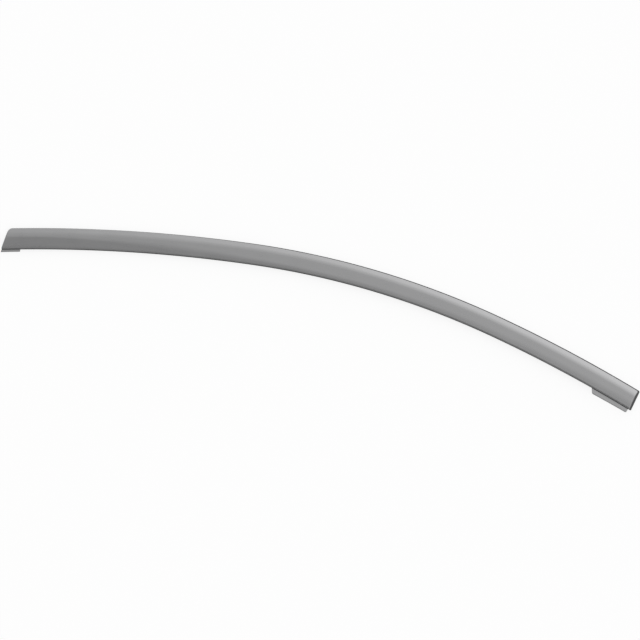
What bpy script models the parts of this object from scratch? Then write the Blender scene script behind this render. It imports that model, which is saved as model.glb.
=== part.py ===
# Window moulding: one strip of drawn sheet that follows the upper edge of a side window.
# It lies on its open back. +X runs to the rear end, +Y towards the roof, +Z out of the face.
# Sizes are in millimetres and angles in degrees until a point is placed.
# A point on the strip is named by s, along its middle from the front end, and v, towards the roof.

import math

import bmesh
import bpy

MM = 0.001

# Strip
FRONT_WIDTH = 26.9
REAR_WIDTH = 25.8
CROWN_HEIGHT = 7.5
SHEET = 0.8

# Draft of the walls. A path holds (s, value) points and is straight between them.
LOWER_DRAFT = 6.0
UPPER_DRAFT_PATH = ((80.0, 5.0), (380.0, 12.0))
FRONT_DRAFT = 5.0
REAR_DRAFT = 17.0

# Crown: three faces by their tilts, and where they meet as shares of the width below the upper foot.
# The lower break wanders slantwise down the face.
UPPER_TILT = 20.0
MIDDLE_TILT = 0.8
LOWER_TILT_PATH = ((340.0, 7.5), (620.0, 4.5))
RIDGE_PLACE = 0.27
BREAK_PATH = ((50.0, 0.43), (330.0, 0.77), (430.0, 0.80), (820.0, 0.70))

# Bends: inside radii, the reach of the blend at the ridge as a share of the width,
# and that at the lower break as a share of the room beside it
UPPER_BEND = 0.7
LOWER_BEND = 0.8
END_BEND = 0.3
RIDGE_BLEND = 0.095
BREAK_BLEND = 0.55
BEND_ROOM = 0.085

# Plan curve: three arcs that meet without a kink and all turn the same way
FRONT_RUN = 319.0
MIDDLE_RUN = 320.0
REAR_RUN = 191.7
FRONT_RADIUS = 2008.0
MIDDLE_RADIUS = 1103.0
REAR_RADIUS = 1806.0

# Ends: how far each cut leans towards the middle on the roof side, and the corners there
FRONT_LEAN = 21.5
REAR_LEAN = 6.0
FRONT_CORNER_EXTRA = 5.3
REAR_CORNER_EXTRA = 0.7
LEAN_FADE = 60.0

# Foot tabs along the lower wall
FRONT_TAB_LENGTH = 24.4
FRONT_TAB_REACH = 2.9
REAR_TAB_LENGTH = 51.2
REAR_TAB_GAP = 4.1
REAR_TAB_FRONT_REACH = 5.9
REAR_TAB_REAR_REACH = 5.0
REAR_TAB_SLANT = 3.8
TAB_CORNER = 1.5

# Mesh fineness
BODY_STATIONS = 46
BEND_STEPS = 3
BLEND_STEPS = 3
CORNER_STEPS = 3
TAB_STEPS = 5
SHARP_ANGLE = 32.0

# Satin metal
METAL_COLOUR = (0.32, 0.32, 0.323, 1.0)
METAL_ROUGHNESS = 0.3

ARCS = ((FRONT_RUN, FRONT_RADIUS), (MIDDLE_RUN, MIDDLE_RADIUS), (REAR_RUN, REAR_RADIUS))
LENGTH = FRONT_RUN + MIDDLE_RUN + REAR_RUN
LOWER_SLOPE = math.tan(math.radians(LOWER_DRAFT))
FRONT_SLOPE = math.tan(math.radians(FRONT_DRAFT))
REAR_SLOPE = math.tan(math.radians(REAR_DRAFT))
END_RADIUS = END_BEND + SHEET


def clear_scene():
    for obj in list(bpy.data.objects):
        bpy.data.objects.remove(obj, do_unlink=True)


def plan_point(s, v):
    """Walk along the arcs to s, then step v towards the roof."""
    x, y, heading = 0.0, 0.0, 0.0
    rest = s
    for run, radius in ARCS:
        step = rest if radius == REAR_RADIUS else min(rest, run)
        turned = heading - step / radius
        x += radius * (math.sin(heading) - math.sin(turned))
        y += radius * (math.cos(turned) - math.cos(heading))
        heading = turned
        rest -= step
        if rest <= 0.0:
            break
    return x - v * math.sin(heading), y + v * math.cos(heading)


def half_width(s):
    share = min(max(s / LENGTH, 0.0), 1.0)
    return 0.5 * (FRONT_WIDTH + (REAR_WIDTH - FRONT_WIDTH) * share)


def along_path(path, s):
    """The value of a path at s, level before its first point and past its last."""
    if s <= path[0][0]:
        return path[0][1]
    for (s0, a), (s1, b) in zip(path, path[1:]):
        if s <= s1:
            return a + (b - a) * (s - s0) / (s1 - s0)
    return path[-1][1]


def face_line(point, tilt):
    """The line z = height + slope * v of a face through a point, as (height, slope)."""
    slope = math.tan(math.radians(tilt))
    return point[1] - slope * point[0], slope


def meet(first, second):
    v = (second[0] - first[0]) / (first[1] - second[1])
    return v, first[0] + first[1] * v


def lowered(line, inset, drop):
    """Move a line of the crown into the sheet by inset, and down by drop."""
    height, slope = line
    return height - inset * math.hypot(1.0, slope) - drop, slope


def direction(a, b):
    length = math.hypot(b[0] - a[0], b[1] - a[1])
    return (b[0] - a[0]) / length, (b[1] - a[1]) / length


def round_off(before, corner, after, steps, radius=0.0, reach=0.0):
    """Replace a corner by an arc, given by its radius or by its reach to either side."""
    d1 = direction(before, corner)
    d2 = direction(corner, after)
    turn = math.atan2(d1[0] * d2[1] - d1[1] * d2[0], d1[0] * d2[0] + d1[1] * d2[1])
    if reach:
        radius = reach / math.tan(abs(turn) / 2)
    else:
        reach = radius * math.tan(abs(turn) / 2)
    side = math.copysign(radius, turn)
    start = (corner[0] - reach * d1[0], corner[1] - reach * d1[1])
    centre = (start[0] - side * d1[1], start[1] + side * d1[0])
    first = math.atan2(start[1] - centre[1], start[0] - centre[0])
    angles = [first + turn * k / steps for k in range(steps + 1)]
    return [(centre[0] + radius * math.cos(a), centre[1] + radius * math.sin(a)) for a in angles]


def section(s, low, high, inset, drop):
    """Points (v, z) of a skin from its lower foot over the crown to its upper foot.

    The crown is laid out on the full width at s, the feet stand at low and high,
    inset is the depth of the skin in the sheet, and drop lowers the crown at an end.
    """
    half = half_width(s)
    width = 2 * half
    break_place = along_path(BREAK_PATH, s)
    break_room = min(break_place - RIDGE_PLACE - RIDGE_BLEND, 1 - break_place - BEND_ROOM)
    ridge = (half - RIDGE_PLACE * width, CROWN_HEIGHT)
    break_v = half - break_place * width
    break_z = CROWN_HEIGHT - (ridge[0] - break_v) * math.tan(math.radians(MIDDLE_TILT))

    lower_face = lowered(face_line((break_v, break_z), along_path(LOWER_TILT_PATH, s)), inset, drop)
    middle_face = lowered(face_line(ridge, MIDDLE_TILT), inset, drop)
    upper_face = lowered(face_line(ridge, -UPPER_TILT), inset, drop)
    upper_slope = math.tan(math.radians(along_path(UPPER_DRAFT_PATH, s)))
    lower_wall = (-low / LOWER_SLOPE, 1 / LOWER_SLOPE)
    upper_wall = (high / upper_slope, -1 / upper_slope)

    foot_low = (low, 0.0)
    foot_high = (high, 0.0)
    a = meet(lower_wall, lower_face)
    b = meet(lower_face, middle_face)
    c = meet(middle_face, upper_face)
    d = meet(upper_face, upper_wall)
    points = [foot_low]
    points += round_off(foot_low, a, b, BEND_STEPS, radius=LOWER_BEND + SHEET - inset)
    points += round_off(a, b, c, BLEND_STEPS, reach=BREAK_BLEND * break_room * width)
    points += round_off(b, c, d, BLEND_STEPS, reach=RIDGE_BLEND * width)
    points += round_off(c, d, foot_high, BEND_STEPS, radius=UPPER_BEND + SHEET - inset)
    points.append(foot_high)
    return points


def foot(half, lean, radius, depth, inset):
    """Distance of a foot from the middle, at a depth inside an end with rounded corners."""
    cosine = (radius - depth) / (radius - inset)
    from_end = math.acos(min(max(cosine, 0.0), 1.0))
    return half - radius + (radius - inset) * math.sin(min(from_end + lean, math.pi / 2))


def end_loops(lean, corner, side, inset):
    """Loops of one end from its wall inwards; side is 1 at the front and -1 at the rear."""
    bend = END_RADIUS - inset
    places = []
    for k in range(BEND_STEPS + 1):
        angle = math.pi / 2 * k / BEND_STEPS
        places.append((END_RADIUS - bend * math.cos(angle), bend * (1 - math.sin(angle))))
    first = math.acos((corner - END_RADIUS) / (corner - inset))
    last = math.pi / 2 - lean
    for k in range(1, CORNER_STEPS + 1):
        angle = first + (last - first) * k / CORNER_STEPS
        places.append((corner - (corner - inset) * math.cos(angle), 0.0))

    end = 0.0 if side > 0 else LENGTH
    end_slope = FRONT_SLOPE if side > 0 else -REAR_SLOPE
    loops = []
    for depth, drop in places:
        s = end + side * depth / math.cos(lean)
        half = half_width(s)
        low = -foot(half, -lean, END_RADIUS, depth, inset)
        high = foot(half, lean, corner, depth, inset)
        slope = side * math.tan(lean)
        loops.append(place_loop(s, slope, end_slope, section(s, low, high, inset, drop)))
    return loops, end + side * places[-1][0] / math.cos(lean)


def place_loop(s, slope, end_slope, points):
    """Place a section on a cut that leans by slope in plan and by the end wall's draft."""
    loop = []
    for v, z in points:
        x, y = plan_point(s + slope * v + end_slope * z, v)
        loop.append((x, y, z))
    return loop


def skin(inset):
    """All loops of one skin, from the front end wall to the rear one."""
    front_lean = math.radians(FRONT_LEAN)
    rear_lean = math.radians(REAR_LEAN)
    front, first = end_loops(front_lean, END_RADIUS + FRONT_CORNER_EXTRA, 1, inset)
    rear, last = end_loops(rear_lean, END_RADIUS + REAR_CORNER_EXTRA, -1, inset)
    body = []
    for k in range(1, BODY_STATIONS):
        s = first + (last - first) * k / BODY_STATIONS
        front_share = max(0.0, 1 - (s - first) / LEAN_FADE)
        rear_share = max(0.0, 1 - (last - s) / LEAN_FADE)
        slope = math.tan(front_lean) * front_share - math.tan(rear_lean) * rear_share
        foot_place = half_width(s) - inset
        points = section(s, -foot_place, foot_place, inset, 0.0)
        body.append(place_loop(s, slope, 0.0, points))
    return front + body + rear[::-1]


def shell_mesh():
    """The drawn sheet: outer and inner skin, joined around the feet."""
    bm = bmesh.new()
    outer = [[bm.verts.new(p) for p in loop] for loop in skin(0.0)]
    inner = [[bm.verts.new(p) for p in loop] for loop in skin(SHEET)]
    for i in range(len(outer) - 1):
        for grid in (outer, inner):
            for j in range(len(grid[i]) - 1):
                bm.faces.new((grid[i][j], grid[i][j + 1], grid[i + 1][j + 1], grid[i + 1][j]))
        for foot_row in (0, -1):
            a, b = outer[i][foot_row], outer[i + 1][foot_row]
            c, d = inner[i + 1][foot_row], inner[i][foot_row]
            bm.faces.new((a, b, c, d))
    for end in (0, -1):
        bm.faces.new(outer[end])
        bm.faces.new(inner[end])
        bm.faces.new((outer[end][0], inner[end][0], inner[end][-1], outer[end][-1]))
    bmesh.ops.recalc_face_normals(bm, faces=bm.faces)
    return bm


def between(a, b, steps):
    """Points strictly between a and b."""
    shares = [k / steps for k in range(1, steps)]
    return [(a[0] + (b[0] - a[0]) * share, a[1] + (b[1] - a[1]) * share) for share in shares]


def front_tab_outline():
    """The front tab ends flush with the front cut. Both tabs root inside the lower wall."""
    slope = math.tan(math.radians(FRONT_LEAN))
    root = SHEET / 2 - half_width(0.0)
    out = -half_width(0.0) - FRONT_TAB_REACH
    cut = slope * root
    a, b = (cut, root), (slope * out, out)
    c, d = (cut + FRONT_TAB_LENGTH, out), (cut + FRONT_TAB_LENGTH, root)
    outline = [a, b] + between(b, c, TAB_STEPS)
    outline += round_off(b, c, d, BEND_STEPS, radius=TAB_CORNER)
    return outline + [d] + between(d, a, TAB_STEPS)


def rear_tab_outline():
    """The rear tab stops short of the rear cut, and its front edge slants."""
    end = LENGTH + math.tan(math.radians(REAR_LEAN)) * half_width(LENGTH) - REAR_TAB_GAP
    start = end - REAR_TAB_LENGTH
    a = (start, SHEET / 2 - half_width(start))
    b = (start + REAR_TAB_SLANT, -half_width(start) - REAR_TAB_FRONT_REACH)
    c = (end, -half_width(end) - REAR_TAB_REAR_REACH)
    d = (end, SHEET / 2 - half_width(end))
    outline = [a] + round_off(a, b, c, BEND_STEPS, radius=TAB_CORNER)
    outline += between(b, c, TAB_STEPS)
    outline += round_off(b, c, d, BEND_STEPS, radius=TAB_CORNER)
    return outline + [d] + between(d, a, TAB_STEPS)


def tab_mesh(outline):
    """A flat tab of one sheet's thickness that lies on the level of the feet."""
    bm = bmesh.new()
    lower = [bm.verts.new((*plan_point(s, v), 0.0)) for s, v in outline]
    upper = [bm.verts.new((*plan_point(s, v), SHEET)) for s, v in outline]
    bm.faces.new(lower)
    bm.faces.new(upper)
    for i in range(len(outline)):
        bm.faces.new((lower[i - 1], lower[i], upper[i], upper[i - 1]))
    bmesh.ops.recalc_face_normals(bm, faces=bm.faces)
    return bm


def box_middle(meshes):
    """Middle in plan of the box around some meshes."""
    xs = [vert.co.x for bm in meshes for vert in bm.verts]
    ys = [vert.co.y for bm in meshes for vert in bm.verts]
    return (min(xs) + max(xs)) / 2, (min(ys) + max(ys)) / 2


def make_object(name, bm, middle):
    """Centre a mesh in plan, turn it to metres and link it."""
    for vert in bm.verts:
        vert.co.x = (vert.co.x - middle[0]) * MM
        vert.co.y = (vert.co.y - middle[1]) * MM
        vert.co.z *= MM
    mesh = bpy.data.meshes.new(name)
    bm.to_mesh(mesh)
    bm.free()
    obj = bpy.data.objects.new(name, mesh)
    bpy.context.scene.collection.objects.link(obj)
    return obj


def weld(body, tab):
    """Union a tab with the body, then drop the loose tab."""
    modifier = body.modifiers.new("weld", "BOOLEAN")
    modifier.operation = "UNION"
    modifier.solver = "EXACT"
    modifier.object = tab
    depsgraph = bpy.context.evaluated_depsgraph_get()
    joined = bpy.data.meshes.new_from_object(body.evaluated_get(depsgraph))
    body.modifiers.clear()
    body.data = joined
    bpy.data.objects.remove(tab, do_unlink=True)


def satin_metal():
    material = bpy.data.materials.new("satin_metal")
    material.use_nodes = True
    shader = material.node_tree.nodes["Principled BSDF"]
    shader.inputs["Base Color"].default_value = METAL_COLOUR
    shader.inputs["Metallic"].default_value = 1.0
    shader.inputs["Roughness"].default_value = METAL_ROUGHNESS
    return material


def build():
    clear_scene()
    shell = shell_mesh()
    front_tab = tab_mesh(front_tab_outline())
    rear_tab = tab_mesh(rear_tab_outline())
    middle = box_middle((shell, front_tab, rear_tab))
    strip = make_object("moulding_strip", shell, middle)
    weld(strip, make_object("front_tab", front_tab, middle))
    weld(strip, make_object("rear_tab", rear_tab, middle))
    strip.data.materials.clear()
    strip.data.materials.append(satin_metal())
    strip.data.shade_smooth()
    strip.data.set_sharp_from_angle(angle=math.radians(SHARP_ANGLE))


build()
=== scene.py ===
# Window moulding, dressed: the drawn metal strip with its true bends, edges and satin finish,
# on a pale floor in soft light, seen from the photo's angle.
# Sizes are in millimetres and angles in degrees until a point is placed.
# A point on the strip is named by s, along its middle from the front end, and v, towards the roof.

import math

import bmesh
import bpy
from mathutils import Matrix, Vector


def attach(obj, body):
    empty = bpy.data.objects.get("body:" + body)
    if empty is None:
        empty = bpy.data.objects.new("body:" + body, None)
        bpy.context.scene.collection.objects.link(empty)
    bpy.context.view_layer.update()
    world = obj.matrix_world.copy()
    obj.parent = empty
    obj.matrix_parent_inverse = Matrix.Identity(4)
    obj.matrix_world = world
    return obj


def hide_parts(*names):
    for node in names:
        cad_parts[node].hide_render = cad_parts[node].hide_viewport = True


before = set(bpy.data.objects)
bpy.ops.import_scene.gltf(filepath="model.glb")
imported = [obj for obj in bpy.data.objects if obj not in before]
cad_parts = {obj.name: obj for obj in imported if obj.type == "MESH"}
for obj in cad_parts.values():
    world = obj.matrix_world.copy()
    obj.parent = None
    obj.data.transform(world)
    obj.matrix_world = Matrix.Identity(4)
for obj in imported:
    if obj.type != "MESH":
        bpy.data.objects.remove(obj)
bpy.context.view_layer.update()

MM = 0.001

# Strip, as in the CAD part, with the crown a hair lower because its finer blend reaches higher
FRONT_WIDTH = 26.9
REAR_WIDTH = 25.8
CROWN_HEIGHT = 7.49
SHEET = 0.8
STRIP_START = (-394.306, 106.374)

# Draft of the walls. A path holds (s, value) points and is straight between them.
LOWER_DRAFT = 6.0
UPPER_DRAFT_PATH = ((80.0, 5.0), (380.0, 12.0))
FRONT_DRAFT = 5.0
REAR_DRAFT = 17.0

# Crown: three faces by their tilts, and where they meet as shares of the width below the upper foot.
# The lower break wanders slantwise down the face.
UPPER_TILT = 20.0
MIDDLE_TILT = 0.8
LOWER_TILT_PATH = ((340.0, 7.5), (620.0, 4.5))
RIDGE_PLACE = 0.27
BREAK_PATH = ((50.0, 0.43), (330.0, 0.77), (430.0, 0.80), (820.0, 0.70))

# Bends: inside radii, and how far the blends reach. At the ridge that is a share of the width, but
# no more than a share of the room beside it, and at the lower break a share of the room beside it.
# The lower bend keeps a room of its own, as a share of the width.
UPPER_BEND = 0.7
LOWER_BEND_PATH = ((60.0, 0.5), (560.0, 1.0))
END_BEND = 0.2
TAB_BEND = 0.5
RIDGE_BLEND = 0.095
RIDGE_ROOM = 0.9
BREAK_BLEND = 0.55
BEND_ROOM = 0.085

# Plan curve: three arcs that meet without a kink
FRONT_RUN = 319.0
MIDDLE_RUN = 320.0
REAR_RUN = 191.7
FRONT_RADIUS = 2008.0
MIDDLE_RADIUS = 1103.0
REAR_RADIUS = 1806.0

# Ends: how far each cut leans towards the middle on the roof side, the corners there,
# and how far along the strip the lean fades out
FRONT_LEAN = 21.5
REAR_LEAN = 6.0
FRONT_CORNER_EXTRA = 5.4
REAR_CORNER_EXTRA = 0.8
LEAN_FADE = 20.0

# Foot tabs along the lower wall, and the short step in which a square end of one is drawn
FRONT_TAB_LENGTH = 24.4
FRONT_TAB_REACH = 2.9
REAR_TAB_LENGTH = 51.2
REAR_TAB_GAP = 4.1
REAR_TAB_FRONT_REACH = 5.9
REAR_TAB_REAR_REACH = 5.0
REAR_TAB_SLANT = 3.8
TAB_CORNER = 1.5
FRONT_TAB_CORNER = 0.6
REAR_TAB_FRONT_CORNER = 3.0
STEP_EDGE = 0.02

# Feet of the walls: the round of the sheared edges, the height where a foot begins,
# and the reach at which a foot has wholly turned into a tab
EDGE_ROUND = 0.15
FOOT_TOP = 1.8
LEAST_TAB = 1.0

# Mesh fineness. A body station is left out where one at a tab is nearer than a share of the gap.
# The station of a tab's corner is found in rounds, because its lean depends on its place.
BODY_GAP = 2.8
LEAST_GAP_SHARE = 0.2
FOOT_TRIES = 30
BEND_STEPS = 8
BLEND_STEPS = 8
CORNER_STEPS = 10
EDGE_STEPS = 2
TAB_STEPS = 3
FLAT_STEPS = 4
SHARP_ANGLE = 38.0

# Worked out from the values above
ARCS = ((FRONT_RUN, FRONT_RADIUS), (MIDDLE_RUN, MIDDLE_RADIUS), (REAR_RUN, REAR_RADIUS))
LENGTH = FRONT_RUN + MIDDLE_RUN + REAR_RUN
LOWER_SLOPE = math.tan(math.radians(LOWER_DRAFT))
FRONT_SLOPE = math.tan(math.radians(FRONT_DRAFT))
REAR_SLOPE = math.tan(math.radians(REAR_DRAFT))
END_RADIUS = END_BEND + SHEET
FOOT_FACE_POINTS = BEND_STEPS + TAB_STEPS + EDGE_STEPS + 1
UNDER_STEPS = TAB_STEPS + EDGE_STEPS + 2

# Photo and camera: where the photo's middle lies on the floor, its scale there, the camera's turns
# from square on to the face, and its distance and clip in metres
PHOTO_MIDDLE = (7.594, -2.036)
PHOTO_MM_PER_PIXEL = 1.235
PHOTO_PIXELS = 640
CAMERA_YAW = 10.0
CAMERA_PITCH = 5.0
CAMERA_DISTANCE = 4.0
SENSOR_WIDTH = 36.0
CLIP_END = 100.0

# Satin metal: the two tones that the cloud mixes on the faces, a darker tone painted on the outer walls
# as shade, the upright part of the normal where the walls end and the faces begin, and the tint at
# grazing angles
FACE_TONES = ((0.315, 0.315, 0.318, 1.0), (0.330, 0.330, 0.333, 1.0))
# painted shade: a dark colour for the outer walls, standing in for the shade they fall in
PAINTED_WALL_SHADE_TONE = (0.09, 0.09, 0.091, 1.0)
WALL_TO_FACE = (0.25, 0.80)
EDGE_TINT = (0.6, 0.6, 0.6, 1.0)
FACE_ROUGHNESS = (0.27, 0.33)
WALL_ROUGHNESS = 0.80
CLOUD_ROUGHNESS = 0.02

# Grain, much finer across the strip than along it, and cloud, both for each metre
GRAIN_STRETCH = (40.0, 4200.0, 1.0)
GRAIN_DEPTH = 0.00002
GRAIN_STRENGTH = 0.08
CLOUD_SCALE = 28.0

# Noise of both materials, and the sockets of a Mix node that carry its colours
NOISE_DETAIL = 3.0
NOISE_SPAN = (0.3, 0.7)
MIX_COLOURS_IN = (6, 7)
MIX_COLOUR_OUT = 2

# Floor: its size in metres, its two tones, and how much of it the camera and reflections see as white
FLOOR_SIZE = 30.0
FLOOR_TONES = ((0.935, 0.935, 0.935, 1.0), (0.945, 0.945, 0.945, 1.0))
FLOOR_ROUGHNESS = 0.9
FLOOR_CLOUD_SCALE = 3.0
FLOOR_WHITE_SHARE = 0.80
WHITE = (1.0, 1.0, 1.0, 1.0)

# Sky: its level against the rightward part of the direction, times that against its roofward part
SKY_ALONG = ((-1.0, 0.62), (-0.30, 0.70), (-0.10, 1.07), (0.20, 1.42), (1.0, 1.50))
SKY_ACROSS = ((-1.0, 0.75), (-0.30, 0.60), (-0.10, 0.80), (0.05, 1.05), (0.40, 1.08),
              (0.70, 1.22), (1.0, 1.30))
SKY_TOP = 2.0


def plan_point(s, v):
    """Walk along the arcs to s, then step v towards the roof."""
    x, y = STRIP_START
    heading = 0.0
    rest = s
    for run, radius in ARCS:
        step = rest if radius == REAR_RADIUS else min(rest, run)
        turned = heading - step / radius
        x += radius * (math.sin(heading) - math.sin(turned))
        y += radius * (math.cos(turned) - math.cos(heading))
        heading = turned
        rest -= step
        if rest <= 0.0:
            break
    return x - v * math.sin(heading), y + v * math.cos(heading)


def half_width(s):
    """Half the width of the strip at s, which narrows evenly to the rear."""
    share = min(max(s / LENGTH, 0.0), 1.0)
    return 0.5 * (FRONT_WIDTH + (REAR_WIDTH - FRONT_WIDTH) * share)


def meet(first, second):
    """Where two lines, each given as (height, slope), cross."""
    v = (second[0] - first[0]) / (first[1] - second[1])
    return v, first[0] + first[1] * v


def lowered(line, inset, drop):
    """Move a line of the crown into the sheet by inset, and down by drop."""
    height, slope = line
    return height - inset * math.hypot(1.0, slope) - drop, slope


def direction(a, b):
    """The direction from a to b, one unit long."""
    length = math.hypot(b[0] - a[0], b[1] - a[1])
    return (b[0] - a[0]) / length, (b[1] - a[1]) / length


def round_off(before, corner, after, steps, radius=0.0, reach=0.0):
    """Replace a corner by an arc, given by its radius or by its reach to either side."""
    d1 = direction(before, corner)
    d2 = direction(corner, after)
    turn = math.atan2(d1[0] * d2[1] - d1[1] * d2[0], d1[0] * d2[0] + d1[1] * d2[1])
    if reach:
        radius = reach / math.tan(abs(turn) / 2)
    else:
        reach = radius * math.tan(abs(turn) / 2)
    side = math.copysign(radius, turn)
    start = (corner[0] - reach * d1[0], corner[1] - reach * d1[1])
    centre = (start[0] - side * d1[1], start[1] + side * d1[0])
    first = math.atan2(start[1] - centre[1], start[0] - centre[0])
    angles = [first + turn * k / steps for k in range(steps + 1)]
    return [(centre[0] + radius * math.cos(a), centre[1] + radius * math.sin(a)) for a in angles]


def between(a, b, steps):
    """Points strictly between a and b."""
    shares = [k / steps for k in range(1, steps)]
    return [(a[0] + (b[0] - a[0]) * share, a[1] + (b[1] - a[1]) * share) for share in shares]


def along_path(path, s):
    """The value of a path at s, level before its first point and past its last."""
    if s <= path[0][0]:
        return path[0][1]
    for (s0, a), (s1, b) in zip(path, path[1:]):
        if s <= s1:
            return a + (b - a) * (s - s0) / (s1 - s0)
    return path[-1][1]


def upper_draft_slope(s):
    """How far the upper wall leans away from the roof for each unit that it rises."""
    return math.tan(math.radians(along_path(UPPER_DRAFT_PATH, s)))


def face_line(point, tilt):
    """The line of a face through a point, tilted down towards the lower edge, as (height, slope)."""
    slope = math.tan(math.radians(tilt))
    return point[1] - slope * point[0], slope


def section(s, low, high, inset, drop):
    """Points (v, z) of a skin over the crown, between the tops of its two feet."""
    half = half_width(s)
    width = 2 * half
    place = along_path(BREAK_PATH, s)
    ridge = (half - RIDGE_PLACE * width, CROWN_HEIGHT)
    break_v = half - place * width
    break_z = CROWN_HEIGHT - (ridge[0] - break_v) * math.tan(math.radians(MIDDLE_TILT))
    break_room = min(place - RIDGE_PLACE - RIDGE_BLEND, 1 - place - BEND_ROOM)
    break_reach = BREAK_BLEND * break_room * width
    upper_slope = upper_draft_slope(s)
    lower_bend = along_path(LOWER_BEND_PATH, s)

    lower_face = lowered(face_line((break_v, break_z), along_path(LOWER_TILT_PATH, s)), inset, drop)
    middle_face = lowered(face_line(ridge, MIDDLE_TILT), inset, drop)
    upper_face = lowered(face_line(ridge, -UPPER_TILT), inset, drop)
    lower_wall = (-low / LOWER_SLOPE, 1 / LOWER_SLOPE)
    upper_wall = (high / upper_slope, -1 / upper_slope)

    start = (low + FOOT_TOP * LOWER_SLOPE, FOOT_TOP)
    end = (high - FOOT_TOP * upper_slope, FOOT_TOP)
    a = meet(lower_wall, lower_face)
    b = meet(lower_face, middle_face)
    c = meet(middle_face, upper_face)
    d = meet(upper_face, upper_wall)
    upper_bend = round_off(c, d, end, BEND_STEPS, radius=UPPER_BEND + SHEET - inset)
    ridge_reach = min(RIDGE_BLEND * width, RIDGE_ROOM * math.dist(c, upper_bend[0]))
    arcs = [
        [start],
        round_off(start, a, b, BEND_STEPS, radius=lower_bend + SHEET - inset),
        round_off(a, b, c, BLEND_STEPS, reach=break_reach),
        round_off(b, c, d, BLEND_STEPS, reach=ridge_reach),
        upper_bend,
        [end],
    ]
    points = list(arcs[0])
    for before, after in zip(arcs, arcs[1:]):
        points += between(before[-1], after[0], FLAT_STEPS)
        points += after
    return points


def plain_foot(outer, inner, slope, gap):
    """Path (v, z, share of the sheet) around a plain foot, from its outer to its inner face.

    outer and inner are where the two faces of the wall would meet the floor, gap is how far apart
    these places are, and slope is how far the wall leans towards the roof as it rises.
    """
    turns = [math.pi / 2 * k / EDGE_STEPS for k in range(EDGE_STEPS + 1)]
    edge = [(EDGE_ROUND * (1 - math.cos(a)) / gap, EDGE_ROUND * (1 - math.sin(a))) for a in turns]
    far_edge = [(1 - share, z) for share, z in reversed(edge)]
    down = between((0.0, FOOT_TOP), edge[0], FOOT_FACE_POINTS - EDGE_STEPS) + edge
    under = between(edge[-1], far_edge[0], UNDER_STEPS)
    up = far_edge + between(far_edge[-1], (1.0, FOOT_TOP), BEND_STEPS - EDGE_STEPS)
    return [(outer + (inner - outer) * share + slope * z, z, share) for share, z in down + under + up]


def tab_foot(outer, inner, tip):
    """The same path, point for point, where the sheet turns out into a tab that ends at v = tip."""
    outer_top = (outer + FOOT_TOP * LOWER_SLOPE, FOOT_TOP)
    inner_top = (inner + FOOT_TOP * LOWER_SLOPE, FOOT_TOP)
    root = (outer + SHEET * LOWER_SLOPE, SHEET)
    hollow = round_off(outer_top, root, (tip, SHEET), BEND_STEPS - 1, radius=TAB_BEND)
    top_edge = round_off(root, (tip, SHEET), (tip, 0.0), EDGE_STEPS, radius=EDGE_ROUND)
    low_edge = round_off((tip, SHEET), (tip, 0.0), (inner, 0.0), EDGE_STEPS, radius=EDGE_ROUND)
    bend = round_off((tip, 0.0), (inner, 0.0), inner_top, BEND_STEPS - 1, radius=TAB_BEND + SHEET)
    top = between(hollow[-1], top_edge[0], TAB_STEPS + 1)
    under = between(low_edge[-1], bend[0], TAB_STEPS + 1)
    path = [(v, z, 0.0) for v, z in hollow + top + top_edge + low_edge]
    path += [(v, z, (k + 1) / (TAB_STEPS + 1)) for k, (v, z) in enumerate(under)]
    return path + [(v, z, 1.0) for v, z in bend]


def lower_foot(edge, outer, inner, reach, gap):
    """Path around the lower foot, which grows into a tab as its reach past the strip's edge grows."""
    plain = plain_foot(outer, inner, LOWER_SLOPE, gap)
    if reach <= 0.0:
        return plain
    share = min(reach / LEAST_TAB, 1.0)
    tab = tab_foot(outer, inner, edge - max(reach, LEAST_TAB))
    return [tuple(a + (b - a) * share for a, b in zip(p, q)) for p, q in zip(plain, tab)]


def foot(half, lean, radius, depth, inset):
    """Distance of a foot from the middle, at a depth inside an end with rounded corners."""
    cosine = (radius - depth) / (radius - inset)
    from_end = math.acos(min(max(cosine, 0.0), 1.0))
    return half - radius + (radius - inset) * math.sin(min(from_end + lean, math.pi / 2))


def end_places(lean, corner, inset):
    """Depth inside the end and drop of the crown, for each station of one end."""
    bend = END_RADIUS - inset
    places = []
    for k in range(BEND_STEPS + 1):
        angle = math.pi / 2 * k / BEND_STEPS
        places.append((END_RADIUS - bend * math.cos(angle), bend * (1 - math.sin(angle))))
    first = math.acos((corner - END_RADIUS) / (corner - inset))
    last = math.pi / 2 - lean
    for k in range(1, CORNER_STEPS + 1):
        angle = first + (last - first) * k / CORNER_STEPS
        places.append((corner - (corner - inset) * math.cos(angle), 0.0))
    return places


def end_stations(lean, corner, side):
    """Stations of one end from its wall inwards; side is 1 at the front and -1 at the rear.

    A station leans along the strip by slope for each unit towards the roof, and by rise for each
    unit of height above its level. Its skins are the outer and the inner face of the sheet.
    """
    end = 0.0 if side > 0 else LENGTH
    slope = side * math.tan(lean)
    rise = FRONT_SLOPE if side > 0 else -REAR_SLOPE
    stations = []
    skins = [end_places(lean, corner, inset) for inset in (0.0, SHEET)]
    for pair in zip(*skins):
        station = {"slope": slope, "rise": rise, "level": 0.0, "skins": []}
        for inset, (depth, drop) in zip((0.0, SHEET), pair):
            s = end + side * depth / math.cos(lean)
            half = half_width(s)
            low = -foot(half, -lean, END_RADIUS, depth, inset)
            high = foot(half, lean, corner, depth, inset)
            station["skins"].append((s, low, high, inset, drop))
        stations.append(station)
    return stations


def body_station(s, slope, rise):
    """A station away from the ends; its lean with height begins at the top of the tabs."""
    half = half_width(s)
    skins = [(s, inset - half, half - inset, inset, 0.0) for inset in (0.0, SHEET)]
    return {"slope": slope, "rise": rise, "level": SHEET, "skins": skins}


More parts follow.
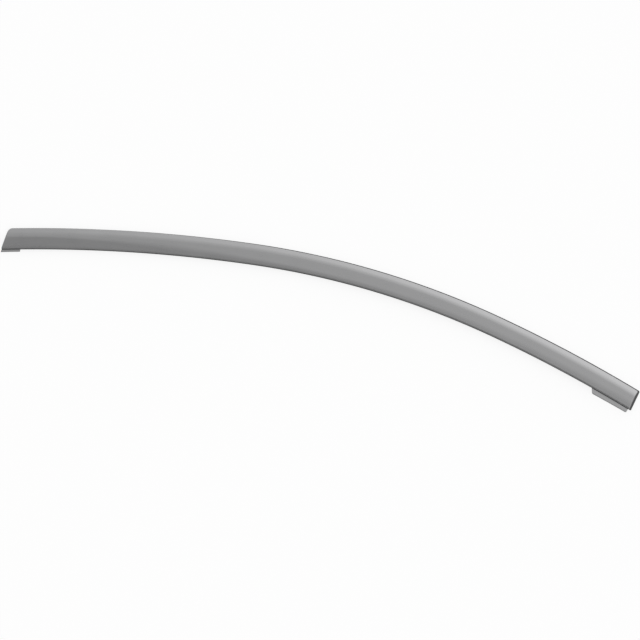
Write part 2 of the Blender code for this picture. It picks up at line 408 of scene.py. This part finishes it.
def front_tab():
    """Outline of the front tab as (s, reach) at its foot; it begins flush with the front cut."""
    cut = -math.tan(math.radians(FRONT_LEAN)) * half_width(0.0)
    begin = 2 * cut
    end = cut + FRONT_TAB_LENGTH
    corner = round_off((begin, FRONT_TAB_REACH), (end, FRONT_TAB_REACH), (end, 0.0),
                       BEND_STEPS, radius=FRONT_TAB_CORNER)
    return [(begin, FRONT_TAB_REACH)] + corner + [(end + STEP_EDGE, 0.0)]


def rear_tab():
    """Outline of the rear tab as (s, reach) at its foot; its front edge slants."""
    end = LENGTH + math.tan(math.radians(REAR_LEAN)) * half_width(LENGTH) - REAR_TAB_GAP
    begin = end - REAR_TAB_LENGTH
    a = (begin, 0.0)
    b = (begin + REAR_TAB_SLANT, REAR_TAB_FRONT_REACH)
    c = (end, REAR_TAB_REAR_REACH)
    d = (end, 0.0)
    front = round_off(a, b, c, BEND_STEPS, radius=REAR_TAB_FRONT_CORNER)
    rear = round_off(b, c, d, BEND_STEPS, radius=TAB_CORNER)
    return [a] + between(a, front[0], BEND_STEPS) + front + rear + [(end + STEP_EDGE, 0.0)]


def tab_reach(s):
    """How far a tab reaches out where the lower foot lies at s, or nothing between the tabs."""
    for outline in (front_tab(), rear_tab()):
        for (s0, r0), (s1, r1) in zip(outline, outline[1:]):
            if s0 <= s <= s1:
                return r0 + (r1 - r0) * (s - s0) / (s1 - s0)
    return 0.0


def all_stations():
    """Stations from end to end, closer together where the outline of a tab turns."""
    front_lean = math.radians(FRONT_LEAN)
    rear_lean = math.radians(REAR_LEAN)
    front = end_stations(front_lean, END_RADIUS + FRONT_CORNER_EXTRA, 1)
    rear = end_stations(rear_lean, END_RADIUS + REAR_CORNER_EXTRA, -1)
    first = max(skin[0] for skin in front[-1]["skins"])
    last = min(skin[0] for skin in rear[-1]["skins"])

    def faded(s, at_front, at_rear):
        """A lean at s, which fades out between its values at the two ends."""
        front_share = max(0.0, 1 - (s - first) / LEAN_FADE)
        rear_share = max(0.0, 1 - (last - s) / LEAN_FADE)
        return at_front * front_share - at_rear * rear_share

    def slope_at(s):
        return faded(s, math.tan(front_lean), math.tan(rear_lean))

    def rise_at(s):
        return faded(s, FRONT_SLOPE, REAR_SLOPE)

    def with_foot_at(place):
        """The s of the station whose lower foot lies at this place along the strip."""
        s = place
        for _ in range(FOOT_TRIES):
            s = place + slope_at(s) * half_width(s)
        return s

    count = round((last - first) / BODY_GAP)
    plain = [first + (last - first) * k / count for k in range(1, count)]
    at_tabs = [with_foot_at(place) for place, reach in front_tab() + rear_tab()]
    at_tabs = [s for s in at_tabs if first < s < last]
    plain = [s for s in plain if min(abs(s - t) for t in at_tabs) > LEAST_GAP_SHARE * BODY_GAP]
    body = [body_station(s, slope_at(s), rise_at(s)) for s in sorted(plain + at_tabs)]
    return front + body + rear[::-1]


def foot_place(station):
    """How far along the strip the lower foot of a station lies."""
    s, low, _, _, _ = station["skins"][0]
    return s + station["slope"] * low


def ring(station, reach):
    """Closed ring of points (x, y, z, s) around the sheet at one station."""
    slope, rise, level = station["slope"], station["rise"], station["level"]
    outer, inner = station["skins"]
    s, low, high = outer[:3]
    inner_s, inner_low, inner_high = inner[:3]

    def place(s, v, z):
        """A point of the ring; past the lower foot, the rear tab runs square across."""
        leaning_v = max(v, low) if slope < 0.0 else v
        along = s + slope * leaning_v + rise * max(z - level, 0.0)
        return (*plan_point(along, v), z, along)

    outer_points = [place(s, v, z) for v, z in section(*outer)]
    inner_points = [place(inner_s, v, z) for v, z in section(*inner)]
    upper_gap = math.hypot(inner_s - s + slope * (inner_high - high), inner_high - high)
    lower_gap = math.hypot(inner_s - s + slope * (inner_low - low), inner_low - low)
    upper = plain_foot(high, inner_high, -upper_draft_slope(s), upper_gap)
    lower = lower_foot(-half_width(s), low, inner_low, reach, lower_gap)
    upper_points = [place(s + share * (inner_s - s), v, z) for v, z, share in upper]
    lower_points = [place(s + share * (inner_s - s), v, z) for v, z, share in lower]
    return outer_points + upper_points + inner_points[::-1] + lower_points[::-1]


def strip_mesh():
    """The whole strip as rings of points along it, closed at both ends by the end walls.

    On a ring, upper_end and lower_end are the points where the outer face of the sheet ends
    at its two feet. around gives the way round the middle ring for the texture coordinates.
    """
    stations = all_stations()
    rings = [ring(station, tab_reach(foot_place(station))) for station in stations]

    skin_count = len(section(*stations[0]["skins"][0]))
    count = len(rings[0])
    upper_end = skin_count + FOOT_FACE_POINTS - 1
    lower_end = count - FOOT_FACE_POINTS
    around = [0.0]
    middle = rings[len(rings) // 2]
    for k in range(count):
        a, b = Vector(middle[k][:3]), Vector(middle[(k + 1) % count][:3])
        around.append(around[-1] + (b - a).length)

    bm = bmesh.new()
    uv = bm.loops.layers.uv.new("strip")
    outside = bm.faces.layers.float.new("outside")
    rows = []
    for points in rings:
        rows.append([bm.verts.new(Vector(p[:3]) * MM) for p in points])

    def add_face(corners, coordinates, is_outside):
        face = bm.faces.new(corners)
        face.smooth = True
        face[outside] = 1.0 if is_outside else 0.0
        for loop, (s, t) in zip(face.loops, coordinates):
            loop[uv].uv = (s * MM, t * MM)

    for i in range(len(rows) - 1):
        for k in range(count):
            n = (k + 1) % count
            corners = (rows[i][k], rows[i][n], rows[i + 1][n], rows[i + 1][k])
            s_here = (rings[i][k][3], rings[i][n][3], rings[i + 1][n][3], rings[i + 1][k][3])
            t_here = (around[k], around[k + 1], around[k + 1], around[k])
            add_face(corners, zip(s_here, t_here), k < upper_end or k >= lower_end)

    for row in (rows[0], rows[-1]):
        outer_loop = row[:upper_end - EDGE_STEPS + 1] + row[lower_end + EDGE_STEPS:]
        inner_loop = row[upper_end + UNDER_STEPS + EDGE_STEPS:lower_end - UNDER_STEPS - EDGE_STEPS + 1]
        for loop, is_outside in ((outer_loop, True), (inner_loop, False)):
            add_face(loop, [(v.co.z / MM, v.co.y / MM) for v in loop], is_outside)
        for k in range(-EDGE_STEPS, UNDER_STEPS + EDGE_STEPS):
            upper_side = (row[upper_end + k], row[upper_end + k + 1])
            lower_side = (row[lower_end - k - 1], row[lower_end - k])
            corners = upper_side + lower_side
            add_face(corners, [(v.co.x / MM, v.co.y / MM) for v in corners], k < 0)
    bmesh.ops.recalc_face_normals(bm, faces=bm.faces)
    return bm


def link(name, mesh):
    """Put a mesh into the scene as an object."""
    obj = bpy.data.objects.new(name, mesh)
    bpy.context.scene.collection.objects.link(obj)
    return obj


def build_strip():
    """The dressed sheet as an object in the scene."""
    bm = strip_mesh()
    mesh = bpy.data.meshes.new("moulding_sheet")
    bm.to_mesh(mesh)
    bm.free()
    mesh.set_sharp_from_angle(angle=math.radians(SHARP_ANGLE))
    return link("moulding_sheet", mesh)


class Nodes:
    """A small helper that adds and joins shader nodes."""

    def __init__(self, tree):
        self.tree = tree

    def add(self, kind, inputs=None, **settings):
        node = self.tree.nodes.new(kind)
        for name, value in settings.items():
            setattr(node, name, value)
        for name, value in (inputs or {}).items():
            if isinstance(value, bpy.types.NodeSocket):
                self.tree.links.new(value, node.inputs[name])
            else:
                node.inputs[name].default_value = value
        return node

    def noise(self, place, scale):
        settings = {"Vector": place, "Scale": scale, "Detail": NOISE_DETAIL}
        return self.add("ShaderNodeTexNoise", settings).outputs["Fac"]

    def math(self, operation, *values):
        return self.add("ShaderNodeMath", dict(enumerate(values)), operation=operation).outputs[0]

    def spread(self, value, span, levels):
        """Map a value from one span to another."""
        settings = {"Value": value, "From Min": span[0], "From Max": span[1]}
        settings.update({"To Min": levels[0], "To Max": levels[1]})
        return self.add("ShaderNodeMapRange", settings).outputs[0]


def tones_mix(nodes, factor, tones):
    """A colour between two tones, each a colour or a socket."""
    mix = nodes.add("ShaderNodeMix", {"Factor": factor}, data_type="RGBA")
    for index, tone in zip(MIX_COLOURS_IN, tones):
        if isinstance(tone, bpy.types.NodeSocket):
            nodes.tree.links.new(tone, mix.inputs[index])
        else:
            mix.inputs[index].default_value = tone
    return mix.outputs[MIX_COLOUR_OUT]


def satin_metal():
    """Neutral grey satin metal with a fine lengthwise grain and a faint uneven sheen.

    The outer walls are rougher, and their colour is darkened as painted shade. A wall is told by its
    normal, and the outside of the sheet by a mark on its faces.
    """
    material = bpy.data.materials.new("satin_metal")
    material.use_nodes = True
    tree = material.node_tree
    nodes = Nodes(tree)
    shader = tree.nodes["Principled BSDF"]
    shader.inputs["Metallic"].default_value = 1.0
    shader.inputs["Specular Tint"].default_value = EDGE_TINT

    strip_map = nodes.add("ShaderNodeUVMap", uv_map="strip")
    stretched = nodes.add("ShaderNodeMapping", {"Vector": strip_map.outputs[0], "Scale": GRAIN_STRETCH})
    grain = nodes.noise(stretched.outputs[0], 1.0)
    place = nodes.add("ShaderNodeTexCoord")
    cloud = nodes.noise(place.outputs["Object"], CLOUD_SCALE)
    parts = nodes.add("ShaderNodeSeparateXYZ", {0: place.outputs["Normal"]})
    steep = nodes.spread(nodes.math("ABSOLUTE", parts.outputs["Z"]), WALL_TO_FACE, (1.0, 0.0))
    outside = nodes.add("ShaderNodeAttribute", attribute_name="outside").outputs["Fac"]
    # mask of the outer walls, which are rougher and darkened by painted shade
    wall_shade_mask = nodes.math("MULTIPLY", steep, outside)

    rough_grain = nodes.spread(grain, NOISE_SPAN, FACE_ROUGHNESS)
    rough_cloud = nodes.spread(cloud, NOISE_SPAN, (-CLOUD_ROUGHNESS, CLOUD_ROUGHNESS))
    rough_face = nodes.math("ADD", rough_grain, rough_cloud)
    roughness = nodes.add("ShaderNodeMix", {"Factor": wall_shade_mask, "A": rough_face, "B": WALL_ROUGHNESS})

    tone = nodes.spread(cloud, NOISE_SPAN, (0.0, 1.0))
    face_colour = tones_mix(nodes, tone, FACE_TONES)
    # painted shade: the outer walls take a darker colour than the faces, in place of the shade on them
    colour = tones_mix(nodes, wall_shade_mask, (face_colour, PAINTED_WALL_SHADE_TONE))
    bump = nodes.add("ShaderNodeBump", {"Height": grain, "Strength": GRAIN_STRENGTH,
                                        "Distance": GRAIN_DEPTH})
    tree.links.new(colour, shader.inputs["Base Color"])
    tree.links.new(roughness.outputs[0], shader.inputs["Roughness"])
    tree.links.new(bump.outputs["Normal"], shader.inputs["Normal"])
    return material


def floor_material():
    """Pale matt floor; the camera and reflections see it near white, with a faint shadow."""
    material = bpy.data.materials.new("pale_floor")
    material.use_nodes = True
    tree = material.node_tree
    nodes = Nodes(tree)
    shader = tree.nodes["Principled BSDF"]
    shader.inputs["Roughness"].default_value = FLOOR_ROUGHNESS
    shader.inputs["Specular IOR Level"].default_value = 0.0
    place = nodes.add("ShaderNodeTexCoord")
    cloud = nodes.noise(place.outputs["Object"], FLOOR_CLOUD_SCALE)
    tree.links.new(tones_mix(nodes, cloud, FLOOR_TONES), shader.inputs["Base Color"])

    path = nodes.add("ShaderNodeLightPath").outputs
    reflected = nodes.math("MAXIMUM", path["Is Glossy Ray"], path["Is Transmission Ray"])
    seen = nodes.math("MAXIMUM", path["Is Camera Ray"], reflected)
    share = nodes.math("MULTIPLY", seen, FLOOR_WHITE_SHARE)
    white = nodes.add("ShaderNodeEmission", {"Color": WHITE, "Strength": 1.0})
    mix = nodes.add("ShaderNodeMixShader", {0: share, 1: shader.outputs[0], 2: white.outputs[0]})
    tree.links.new(mix.outputs[0], tree.nodes["Material Output"].inputs["Surface"])
    return material


def build_floor():
    """A wide floor under the strip."""
    half = FLOOR_SIZE / 2
    mesh = bpy.data.meshes.new("floor")
    corners = [(-half, -half, 0.0), (half, -half, 0.0), (half, half, 0.0), (-half, half, 0.0)]
    mesh.from_pydata(corners, [], [(0, 1, 2, 3)])
    floor = link("floor", mesh)
    mesh.materials.append(floor_material())


def add_curve(nodes, value, levels):
    """A smooth curve through levels given over values from -1 to 1."""
    share = nodes.spread(value, (-1.0, 1.0), (0.0, 1.0))
    curve_node = nodes.add("ShaderNodeFloatCurve", {"Value": share})
    points = curve_node.mapping.curves[0].points
    places = [((at + 1) / 2, level / SKY_TOP) for at, level in levels]
    points[0].location = places[0]
    points[-1].location = places[-1]
    for at, level in places[1:-1]:
        points.new(at, level)
    curve_node.mapping.update()
    return nodes.math("MULTIPLY", curve_node.outputs[0], SKY_TOP)


def build_world():
    """Soft light all round, brighter from the roof side and the rear as from wide white walls."""
    world = bpy.data.worlds.new("studio")
    world.use_nodes = True
    bpy.context.scene.world = world
    tree = world.node_tree
    nodes = Nodes(tree)
    background = tree.nodes["Background"]
    background.inputs["Color"].default_value = WHITE
    place = nodes.add("ShaderNodeTexCoord")
    parts = nodes.add("ShaderNodeSeparateXYZ", {0: place.outputs["Generated"]})
    along = add_curve(nodes, parts.outputs["X"], SKY_ALONG)
    across = add_curve(nodes, parts.outputs["Y"], SKY_ACROSS)
    tree.links.new(nodes.math("MULTIPLY", along, across), background.inputs["Strength"])


def build_camera():
    """Nearly square on to the face, a little from the rear and below, from far off."""
    yaw = math.radians(CAMERA_YAW)
    pitch = math.radians(CAMERA_PITCH)
    back = Vector((math.sin(yaw) * math.cos(pitch), -math.sin(pitch), math.cos(yaw) * math.cos(pitch)))
    right = Vector((0.0, 1.0, 0.0)).cross(back).normalized()
    up = back.cross(right)
    target = Vector((PHOTO_MIDDLE[0] * MM, PHOTO_MIDDLE[1] * MM, 0.0))
    data = bpy.data.cameras.new("camera")
    data.sensor_width = SENSOR_WIDTH
    data.lens = data.sensor_width * CAMERA_DISTANCE / (PHOTO_PIXELS * PHOTO_MM_PER_PIXEL * MM)
    data.clip_end = CLIP_END
    camera = bpy.data.objects.new("camera", data)
    turn = Matrix((right, up, back)).transposed().to_4x4()
    camera.matrix_world = Matrix.Translation(target + back * CAMERA_DISTANCE) @ turn
    bpy.context.scene.collection.objects.link(camera)
    bpy.context.scene.camera = camera


strip = build_strip()
strip.data.materials.append(satin_metal())
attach(strip, "root")
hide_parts("moulding_strip")
build_floor()
build_world()
build_camera()
bpy.context.scene.view_settings.view_transform = "Standard"

bpy.context.view_layer.update()
